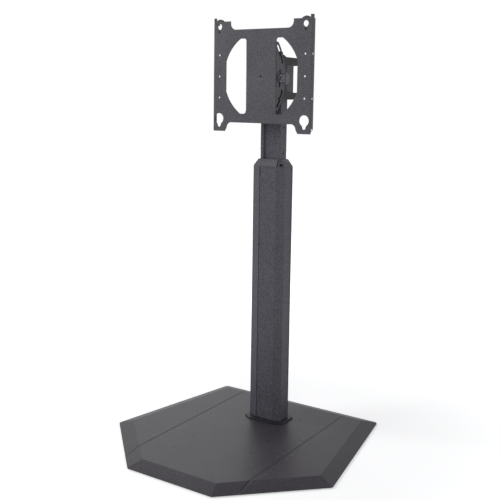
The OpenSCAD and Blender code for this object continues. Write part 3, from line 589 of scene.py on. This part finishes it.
def metal(name, colour, roughness, grain_mm):
    """Plated or bare steel: a bright mirror broken up by a fine turned or rolled grain.

    The grain is drawn coarser than the real 0.1 mm so that it shows at all.
    """
    material, tree, place = bare_material(name)
    grain = add(tree, "ShaderNodeTexNoise", {"Vector": place},
                {"Scale": 1 / (grain_mm * MM), "Detail": 3.0, "Roughness": 0.6})
    gloss = add(tree, "ShaderNodeMapRange", {"Value": grain.outputs[0]},
                noise_span(roughness - 0.07, roughness + 0.09))
    bump = add(tree, "ShaderNodeBump", {"Height": grain.outputs[0]},
               {"Strength": 0.05, "Distance": 0.1 * MM})
    shader = add(tree, "ShaderNodeBsdfPrincipled",
                 {"Roughness": gloss.outputs[0], "Normal": bump.outputs[0]},
                 {"Base Color": linear(colour), "Metallic": 1.0})
    add(tree, "ShaderNodeOutputMaterial", {"Surface": shader.outputs[0]})
    return material


zinc = metal("zinc_plated_steel", "#b9bcc2", 0.34, 1.2)
black_oxide = metal("black_oxide_steel", "#26262a", 0.40, 1.0)
# Painted glint: the hinge screws' coat is lighter than the deck, so their heads show as light dots.
hinge_screw_coat_with_painted_glint = powder_coat("powder_coat_on_screw_heads_with_painted_glint", "#5a595e", 0.42, 1.2, 0.10)

screw_tree = bpy.data.node_groups.new("countersunk_screws", "GeometryNodeTree")
screw_tree.interface.new_socket(name="Geometry", in_out="OUTPUT",
                                socket_type="NodeSocketGeometry")
SCREW_SIZES = ("Head Radius", "Head Height", "Shank Radius", "Length", "Socket Radius",
               "Socket Depth", "Nut Radius", "Nut Height", "Nut Height Above End")
for name, kind in (("Geometry", "NodeSocketGeometry"),
                   *((size, "NodeSocketFloat") for size in SCREW_SIZES),
                   ("Material", "NodeSocketMaterial")):
    screw_tree.interface.new_socket(name=name, in_out="INPUT", socket_type=kind)
given = screw_tree.nodes.new("NodeGroupInput").outputs


def lifted(geometry, z):
    """The screw tree's geometry moved along Z by a socket's value."""
    shift = add(screw_tree, "ShaderNodeCombineXYZ", {"Z": z}).outputs[0]
    return add(screw_tree, "GeometryNodeTransform",
               {"Geometry": geometry, "Translation": shift}).outputs[0]


# The head hangs below the deck's face. The shank starts inside it.
cone = add(screw_tree, "GeometryNodeMeshCone",
           {"Radius Top": given["Head Radius"], "Radius Bottom": given["Shank Radius"],
            "Depth": given["Head Height"]}, {"Vertices": HEAD_SIDES})
head_low = add(screw_tree, "ShaderNodeMath", {0: given["Head Height"]}, {1: -1.0},
               operation="MULTIPLY")
head = lifted(cone.outputs["Mesh"], head_low.outputs[0])
shank = add(screw_tree, "GeometryNodeMeshCylinder",
            {"Radius": given["Shank Radius"], "Depth": given["Length"]},
            {"Vertices": SHANK_SIDES})
shank_mid = add(screw_tree, "ShaderNodeMath", {0: given["Length"]}, {1: -0.5},
                operation="MULTIPLY")
shank_low = add(screw_tree, "ShaderNodeMath", {0: shank_mid.outputs[0]}, {1: -SHANK_SUNK},
                operation="ADD")
stem = lifted(shank.outputs["Mesh"], shank_low.outputs[0])
solid = add(screw_tree, "GeometryNodeMeshBoolean", {"Mesh 2": head}, operation="UNION")
screw_tree.links.new(stem, solid.inputs["Mesh 2"])

# The socket is cut with a hexagon twice as deep, centred on the deck's face.
twice = add(screw_tree, "ShaderNodeMath", {0: given["Socket Depth"]}, {1: 2.0},
            operation="MULTIPLY")
socket = add(screw_tree, "GeometryNodeMeshCylinder",
             {"Radius": given["Socket Radius"], "Depth": twice.outputs[0]}, {"Vertices": HEXAGON})
driven = add(screw_tree, "GeometryNodeMeshBoolean",
             {"Mesh 1": solid.outputs[0], "Mesh 2": socket.outputs["Mesh"]},
             operation="DIFFERENCE")
nut = add(screw_tree, "GeometryNodeMeshCylinder",
          {"Radius": given["Nut Radius"], "Depth": given["Nut Height"]}, {"Vertices": HEXAGON})
nut_low = add(screw_tree, "ShaderNodeMath", {0: given["Nut Height Above End"], 1: given["Length"]},
              operation="SUBTRACT")
whole = add(screw_tree, "GeometryNodeMeshBoolean", {"Mesh 2": driven.outputs[0]},
            operation="UNION")
screw_tree.links.new(lifted(nut.outputs["Mesh"], nut_low.outputs[0]), whole.inputs["Mesh 2"])
spread = add(screw_tree, "GeometryNodeInstanceOnPoints",
             {"Points": given["Geometry"], "Instance": whole.outputs[0]})
real = add(screw_tree, "GeometryNodeRealizeInstances", {"Geometry": spread.outputs[0]})
dressed = add(screw_tree, "GeometryNodeSetMaterial",
              {"Geometry": real.outputs[0], "Material": given["Material"]})
add(screw_tree, "NodeGroupOutput", {"Geometry": dressed.outputs[0]})


def screws(name, places, body, node, material):
    """Countersunk screws through two sheets, their heads at the given places."""
    mesh = bpy.data.meshes.new(name)
    mesh.from_pydata(places, [], [])
    obj = bpy.data.objects.new(name, mesh)
    scene.collection.objects.link(obj)
    modifier = obj.modifiers.new("screws", "NODES")
    modifier.node_group = screw_tree
    length = 2 * SHEET + NUT_BELOW - 2 * SHANK_SUNK
    sizes = (HEAD_R, HEAD_H, SHANK_R, length, SOCKET_R, SOCKET_DEEP, NUT_R, NUT_H,
             NUT_BELOW - NUT_H)
    sockets = {item.name: item.identifier for item in screw_tree.interface.items_tree
               if item.in_out == "INPUT"}
    for size, value in zip(SCREW_SIZES, sizes):
        modifier[sockets[size]] = value
    modifier[sockets["Material"]] = material
    obj.update_tag()
    finish_piece(baked(obj), name, body, [node], material, SCREW_EDGE)


screws("rail_screws_black", rail_screw_places, "base", "rail_screws", black_oxide)
screws("hinge_screws_middle", middle_leaf_places, "base", "center_hinge_screws",
       hinge_screw_coat_with_painted_glint)
for side, word in SIDES:
    screws(f"hinge_screws_{word}_wing", leaf_screws(side, 1), f"{word}_wing",
           f"wing_screws_{word}", hinge_screw_coat_with_painted_glint)

# Folding hinges: four on each seam, each two bent leaves of steel strip with rolled knuckles on a
# pin, screwed up under the decks. Their zinc plating is a cool grey mirror, dulled a little.
LEAF_EDGE = 0.2 * MM
PIN_EDGE = 0.15 * MM
for _, word in SIDES:
    softened(f"center_leaves_{word}", f"hinge_leaves_middle_{word}", zinc, LEAF_EDGE)
    softened(f"wing_leaves_{word}", f"hinge_leaves_wing_{word}", zinc, LEAF_EDGE)
    softened(f"hinge_pins_{word}", f"hinge_pins_{word}_seam", zinc, PIN_EDGE)

# Rubber feet, moulded with a chamfered sole and two ring grooves. Each is pushed by its stem into a
# pan from below. Black rubber stays dull from every side.
MIDDLE_FEET = [(-165, -330), (165, -330), (-205, 338), (205, 338)]
WING_FEET = [(285, -200), (370, -120), (290, 322)]
FOOT_PROFILE = in_mm([(0, 0.6), (3, 0.6), (3.6, 0), (6, 0), (6.4, 0.8), (7.2, 0.8), (7.6, 0),
                      (10, 0), (10.4, 0.8), (11.2, 0.8), (11.6, 0), (13.2, 0), (14.4, 0.5),
                      (15, 1.7), (15, 4.6), (14.6, 5.4), (11.4, 8), (10.4, 9.2), (10, 20.1),
                      (0, 20.1)])
FOOT_SIDES = 40
HAZE_PER_METRE = 60.0


def moulded(name, colour, roughness, grain_mm, relief):
    """Moulded rubber or plastic: even colour, a fine spark-eroded texture from the mould.

    The texture is drawn coarser than the real 0.1 mm so that it shows at all. A haze in patches
    17 mm wide comes from handling.
    """
    material, tree, place = bare_material(name)
    pits = add(tree, "ShaderNodeTexVoronoi", {"Vector": place}, {"Scale": 1 / (grain_mm * MM)})
    haze = add(tree, "ShaderNodeTexNoise", {"Vector": place},
               {"Scale": HAZE_PER_METRE, "Detail": 4.0})
    tone = add(tree, "ShaderNodeMapRange", {"Value": haze.outputs[0]}, noise_span(0.86, 1.16))
    base = add(tree, "ShaderNodeVectorMath", {"Scale": tone.outputs[0]}, {0: linear(colour)[:3]},
               operation="SCALE")
    gloss = add(tree, "ShaderNodeMapRange", {"Value": haze.outputs[0]},
                noise_span(roughness - 0.05, roughness + 0.07))
    bump = add(tree, "ShaderNodeBump", {"Height": pits.outputs["Distance"]},
               {"Strength": relief, "Distance": 0.15 * MM})
    shader = add(tree, "ShaderNodeBsdfPrincipled",
                 {"Base Color": base.outputs[0], "Roughness": gloss.outputs[0],
                  "Normal": bump.outputs[0]}, {"IOR": 1.5})
    add(tree, "ShaderNodeOutputMaterial", {"Surface": shader.outputs[0]})
    return material


rubber = moulded("moulded_rubber", "#1d1d1e", 0.78, 1.0, 0.25)


def feet(name, places, body, node):
    """Rubber feet at places given in millimetres."""
    bm = bmesh.new()
    for x, y in in_mm(places):
        add_turned(bm, FOOT_PROFILE, (x, y, 0), FOOT_SIDES)
    finish_piece(to_mesh(bm, name), name, body, [node], rubber)


feet("rubber_feet_middle", MIDDLE_FEET, "base", "center_feet")
for side, word in SIDES:
    feet(f"rubber_feet_{word}", [(side * x, y) for x, y in WING_FEET], f"{word}_wing",
         f"wing_feet_{word}")

# The column's foot: an eight-sided steel plate on the deck, coated nearly black. Four zinc plated
# hexagon bolts come up through the anchor plate and the base into the column.
BOLT_R = 4.0 * MM
BOLT_SIDES = 28
BOLT_TIP = 0.8 * MM
BOLT_REACH = 4 * MM
BOLT_FLATS_R = 6.4 * MM
BOLT_HEAD = 5.5 * MM
HEAD_CHAMFER_IN, HEAD_CHAMFER_UP = 0.9 * MM, 0.6 * MM
SHANK_OVERLAP = 0.1 * MM
FOOT_PLATE = 6 * MM
ANCHOR_LOW = 15.1 * MM
COLUMN_LOW = DECK + FOOT_PLATE
coat_foot = powder_coat("powder_coat_dark_foot", "#252428", 0.50, 2.2, 0.20)
softened("foot_plate", "column_foot_plate", coat_foot, 0.0)

bolt_low = ANCHOR_LOW - BOLT_HEAD
bolt_top = COLUMN_LOW + BOLT_REACH
bm = bmesh.new()
for place in COLUMN_BOLTS:
    add_turned(bm, [(0, bolt_low), (BOLT_FLATS_R - HEAD_CHAMFER_IN, bolt_low),
                    (BOLT_FLATS_R, bolt_low + HEAD_CHAMFER_UP), (BOLT_FLATS_R, ANCHOR_LOW),
                    (0, ANCHOR_LOW)], place, HEXAGON)
    add_turned(bm, [(0, ANCHOR_LOW - SHANK_OVERLAP), (BOLT_R, ANCHOR_LOW - SHANK_OVERLAP),
                    (BOLT_R, bolt_top - BOLT_TIP), (BOLT_R - BOLT_TIP, bolt_top), (0, bolt_top)],
               place, BOLT_SIDES)
finish_piece(to_mesh(bm, "column_bolts"), "column_bolts", "base", ["mast_bolts"],
             zinc)

# Lower column: a long eight-sided extrusion that stands on the foot plate. Its four corner facets
# stand proud of sunk panels, whose steps draw a dark line down each crease. Fine flutes run down
# its two sides. Its coat has a grain that shows as fine specks.
COLUMN_HALF = Vector((68.8, 36.6)) * MM
COLUMN_FRONT_HALF = 35.1 * MM
COLUMN_SIDE_HALF = 25.6 * MM
COLUMN_TOP = 978 * MM
COLUMN_WALL = 3 * MM
TUBE_EDGE = 0.3 * MM
PANEL_DEEP = 2.0 * MM
PANEL_DRAFT = 0.5 * MM
FACET_EDGE = 0.7 * MM
FACET_EASE = 0.25
FLUTE_PITCH = 6.4 * MM
FLUTE_DEEP = 0.45 * MM
FLUTE_STEPS = 6
FLUTE_MARGIN = 4 * MM
SQUARE_ON = 0.01
coat_column = powder_coat("powder_coat_fine_charcoal", "#57555c", 0.50, 4.0, 0.30, 0.06)


def flat_part(name, outer, holes, thickness, edge):
    """A flat part from its outline and holes, its edges slightly rounded, on z = 0."""
    curve = bpy.data.curves.new(name, "CURVE")
    curve.dimensions = "2D"
    curve.fill_mode = "BOTH"
    curve.extrude = thickness / 2 - edge
    curve.bevel_depth = edge
    curve.bevel_resolution = 1
    curve.offset = -edge
    for points in [outer] + holes:
        spline = curve.splines.new("POLY")
        spline.points.add(len(points) - 1)
        for point, (x, y) in zip(spline.points, points):
            point.co = (x, y, 0, 1)
        spline.use_cyclic_u = True
    obj = bpy.data.objects.new(name, curve)
    scene.collection.objects.link(obj)
    mesh = baked(obj)
    mesh.transform(Matrix.Translation((0, 0, thickness / 2)))
    bm = bmesh.new()
    bm.from_mesh(mesh)
    return to_mesh(bm, name)


def flutes(side):
    """Points down one fluted side of the column, from its first corner to its second."""
    count = int(2 * (COLUMN_SIDE_HALF - FLUTE_MARGIN) / FLUTE_PITCH)
    start_y = -side * count * FLUTE_PITCH / 2
    points = []
    for k in range(count * FLUTE_STEPS + 1):
        y = start_y + side * FLUTE_PITCH * k / FLUTE_STEPS
        wave = 0.5 - 0.5 * math.cos(math.tau * k / FLUTE_STEPS)
        points.append(Vector((side * (COLUMN_HALF.x - PANEL_DEEP - FLUTE_DEEP * wave), y)))
    return points


def panelled(plain):
    """The eight-sided outline with four proud corner facets and sunk panels between them."""
    points = []
    for i, corner in enumerate(plain):
        before = (plain[i - 1] - corner).normalized()
        after = (plain[(i + 1) % len(plain)] - corner).normalized()
        at_front = abs(corner.y) > COLUMN_SIDE_HALF + MM
        inward = (Vector((0, -math.copysign(1, corner.y))) if at_front
                  else Vector((-math.copysign(1, corner.x), 0)))
        panel_next = abs(after.dot(inward)) < SQUARE_ON
        along, facet = (after, before) if panel_next else (before, after)
        step = [corner + facet * FACET_EDGE,
                corner + (facet + inward) * FACET_EDGE * FACET_EASE,
                corner + inward * FACET_EDGE,
                corner + along * PANEL_DRAFT + inward * PANEL_DEEP]
        points += step if panel_next else reversed(step)
        if not at_front and panel_next:
            points += flutes(1 if corner.x > 0 else -1)
    return points


x, y = COLUMN_HALF
plain = [Vector(p) for p in ((-COLUMN_FRONT_HALF, -y), (COLUMN_FRONT_HALF, -y),
                             (x, -COLUMN_SIDE_HALF), (x, COLUMN_SIDE_HALF),
                             (COLUMN_FRONT_HALF, y), (-COLUMN_FRONT_HALF, y),
                             (-x, COLUMN_SIDE_HALF), (-x, -COLUMN_SIDE_HALF))]
bore = [(p.x, p.y) for p in reversed(offset_corners(plain, [COLUMN_WALL] * len(plain)))]
tube = flat_part("lower_column_tube", [(p.x, p.y) for p in panelled(plain)], [bore],
                 COLUMN_TOP - COLUMN_LOW, TUBE_EDGE)
tube.transform(Matrix.Translation((0, COLUMN_Y, COLUMN_LOW)))
finish_piece(tube, "lower_column_tube", "base", ["lower_column"], coat_column)

# Collar on top of the lower column: a cast cap that tapers to the upper column. It is split beside
# its right front corner, and one screw draws the split together on a liner of dark waxy nylon.
softened("collar", "tapered_collar", coat_column, 0.5 * MM)
nylon = moulded("moulded_nylon", "#2a2a2c", 0.5, 0.8, 0.08)
softened("collar_liner", "collar_bushing", nylon, 0.2 * MM)
softened("collar_screws", "collar_clamp_screw", black_oxide, 0.25 * MM)

# Upper column: an extrusion with a broad recess down its front and index holes down its right side.
# A nylon glide on its foot runs inside the lower column, and a black plastic cap closes its top.
softened("upper_column", "upper_column_tube", coat_column, 0.5 * MM)
softened("mast_glide", "upper_column_glide", nylon, 0.6 * MM)
plastic = moulded("moulded_abs", "#1c1c1e", 0.42, 0.9, 0.12)
softened("column_cap", "upper_column_cap", plastic, 0.6 * MM)

# Yoke: two cheeks, a front web and a windowed rear web, welded from 4 mm plate and coated satin
# black, its black painted darker still as the shade behind the plate. A coated clamp plate and four
# bolts of phosphated steel, dark and dull, hold it on the upper column.
# Painted shade: the yoke's black is darkened further for the shade that falls on it behind the head
# plate.
yoke_coat_with_painted_shade = powder_coat("powder_coat_satin_black_with_painted_shade", "#1d1b1f", 0.48, 1.4, 0.14)
dark_bolt = metal("grey_phosphated_steel", "#3c3b40", 0.42, 1.2)
softened("tilt_yoke", "welded_tilt_yoke", yoke_coat_with_painted_shade, 0.6 * MM)
softened("rear_clamp", "yoke_clamp_plate", coat_column, 0.6 * MM)
softened("clamp_bolts", "yoke_clamp_bolts", dark_bolt, 0.3 * MM)

# Guide pins: four shouldered bolts of phosphated steel, fixed in the yoke's cheeks. They run in the
# ears' slots and carry the head plate. Each has a nylon washer and a nut.
softened("guide_pins", "shouldered_guide_pins", dark_bolt, 0.8 * MM)
softened("pin_nuts", "guide_pin_nuts", dark_bolt, 0.5 * MM)
softened("pin_washers", "nylon_pin_washers", nylon, 0.25 * MM)

# Head plate: one sheet of 3 mm steel. Two ears are cut from its windows and folded back, both side
# edges are flanged, and each ear has two guide slots and a lock slot. Its textured coat breaks the
# light into specks.
HEAD_Z = 1298 * MM
PLATE_Y = COLUMN_Y - 92.3 * MM
FOLD_XS = (62 * MM, 204 * MM)
BEND_R = 4.2 * MM
ON_PLACE = 1e-5
coat_head = powder_coat("powder_coat_textured_charcoal", "#59575c", 0.50, 3.8, 0.45)


def is_fold(edge):
    """Long upright edges on the face of the plate where an ear or a flange bends back."""
    a, b = (v.co for v in edge.verts)
    on_face = abs(a.y - PLATE_Y) < ON_PLACE and abs(b.y - PLATE_Y) < ON_PLACE
    return on_face and any(abs(abs(a.x) - x) < ON_PLACE and abs(abs(b.x) - x) < ON_PLACE
                           for x in FOLD_XS)


softened("head_plate", "screen_head_plate", coat_head, 0.35 * MM, is_fold, BEND_R)

# Latches behind the two upper keyholes. Each is cut from sheet steel and coated like the plate: a
# band that curves round the keyhole, with a tongue that closes its slot and a finger tip. It swings
# on a shouldered rivet against a coil spring of bright steel wire.
RIVET_X = 192 * MM
LATCH_PIVOT_Z = HEAD_Z + 184 * MM
SPRING_Y = PLATE_Y + 6.6 * MM
WIRE_R = 0.5 * MM
COIL_R = 4.4 * MM
COIL_START = 0.65 * MM
COIL_PITCH = 1.5 * MM
COIL_TURNS = 3
COIL_STEPS = 20
LEG = 9 * MM
coat_latch = powder_coat("powder_coat_charcoal_latches", "#525055", 0.50, 3.8, 0.30)
for _, word in SIDES:
    softened(f"latch_{word}", f"keyhole_latch_{word}", coat_latch, 0.4 * MM)
softened("latch_rivets", "latch_pivot_rivets", dark_bolt, 0.3 * MM)


def spring_wire(side):
    """Points along one spring: a leg down, the coil and a leg up."""
    points = [(COIL_R, COIL_START, -LEG)]
    for i in range(COIL_TURNS * COIL_STEPS + 1):
        a = math.tau * i / COIL_STEPS
        points.append((COIL_R * math.cos(a), COIL_START + COIL_PITCH * i / COIL_STEPS,
                       COIL_R * math.sin(a)))
    points.append((COIL_R, COIL_START + COIL_PITCH * COIL_TURNS, LEG))
    return [Vector((side * (RIVET_X + x), SPRING_Y + y, LATCH_PIVOT_Z + z)) for x, y, z in points]


curve = bpy.data.curves.new("latch_coil_springs", "CURVE")
curve.dimensions = "3D"
curve.bevel_depth = WIRE_R
curve.bevel_resolution = 3
curve.use_fill_caps = True
for side, _ in SIDES:
    spline = curve.splines.new("POLY")
    points = spring_wire(side)
    spline.points.add(len(points) - 1)
    for point, co in zip(spline.points, points):
        point.co = (*co, 1)
wire = bpy.data.objects.new("latch_coil_springs", curve)
scene.collection.objects.link(wire)
bm = bmesh.new()
bm.from_mesh(baked(wire))
finish_piece(to_mesh(bm, "latch_coil_springs"), "latch_coil_springs", "head", ["latch_springs"],
             zinc, flats=False)

# Lock knob: a six-lobed grip, moulded of mid grey plastic with a slight shine, on a zinc plated
# steel stud through the right ear's lock slot, with a washer and a nut. Turned in, it clamps the
# ear to the yoke.
LOCK_R = 134 * MM
LOCK_ANGLE = math.radians(-2.6)
AXIS_REACH = 104 * MM
LOCK_AT = Vector((0, PLATE_Y + LOCK_R * math.cos(LOCK_ANGLE) - AXIS_REACH,
                  HEAD_Z + LOCK_R * math.sin(LOCK_ANGLE)))
KNOB_LOW = 64.6 * MM
# The hub and the raised cap, as height and radius. The heights count from the hub's and the
# grip's ends.
KNOB_HUB = in_mm([(0, 8.6), (0, 9.5), (0.5, 10), (10.6, 10)])
KNOB_CAP = in_mm([(0, 13.4), (0.3, 13), (2.4, 12.6), (3, 11.8), (3, 4), (2.4, 3.2)])
GRIP_LOW = KNOB_LOW + 11 * MM
GRIP_HIGH = KNOB_LOW + 25 * MM
GRIP_R = 19.9 * MM
GRIP_FOOT_IN = 2.6 * MM
RIM_R = 2.2 * MM
RIM_ANGLES = [math.radians(d) for d in (0, 20, 40, 60, 80)]
LOBES = 6
LOBE_BLEND = 1.2 * MM
SCALLOP_AT = 23 * MM
SCALLOP_R = 7 * MM
KNOB_STEPS = 144
knob_plastic = moulded("moulded_grey_abs", "#5c5b60", 0.45, 0.9, 0.12)


def grip_radius(angle, shrink):
    """Radius of the lobed grip at an angle, drawn in by shrink at its rims."""
    nearest = (angle + math.pi / LOBES) % (math.tau / LOBES) - math.pi / LOBES
    reach = (SCALLOP_R + shrink) ** 2 - (SCALLOP_AT * math.sin(nearest)) ** 2
    outer = GRIP_R - shrink
    if reach <= 0:
        return outer
    inner = SCALLOP_AT * math.cos(nearest) - math.sqrt(reach)
    h = max(LOBE_BLEND - abs(outer - inner), 0) / LOBE_BLEND
    return min(outer, inner) - h * h * LOBE_BLEND / 4


def knob_ring(x, shrink=0.0, round_r=None):
    """The knob's outline at x: a circle of radius round_r, or else the lobed grip."""
    ring = []
    for i in range(KNOB_STEPS):
        a = math.tau * i / KNOB_STEPS
        r = grip_radius(a, shrink) if round_r is None else round_r
        ring.append(LOCK_AT + Vector((x, r * math.cos(a), r * math.sin(a))))
    return ring


rings = [knob_ring(KNOB_LOW + x, round_r=r) for x, r in KNOB_HUB]
rings += [knob_ring(GRIP_LOW, GRIP_FOOT_IN)]
rings += [knob_ring(GRIP_LOW + RIM_R * (1 - math.cos(a)), RIM_R * (1 - math.sin(a)))
          for a in RIM_ANGLES[1:]]
rings += [knob_ring(GRIP_HIGH - RIM_R * (1 - math.cos(a)), RIM_R * (1 - math.sin(a)))
          for a in reversed(RIM_ANGLES)]
rings += [knob_ring(GRIP_HIGH + x, round_r=r) for x, r in KNOB_CAP]
bm = bmesh.new()
loft(bm, rings)
finish_piece(to_mesh(bm, "lobed_lock_knob"), "lobed_lock_knob", "knob", ["tilt_knob"],
             knob_plastic, flats=False)
softened("lock_stud", "lock_knob_stud", zinc, 0.5 * MM)
softened("lock_washer", "lock_knob_washer", zinc, 0.25 * MM)
softened("lock_nut", "lock_stud_nut", zinc, 0.4 * MM)
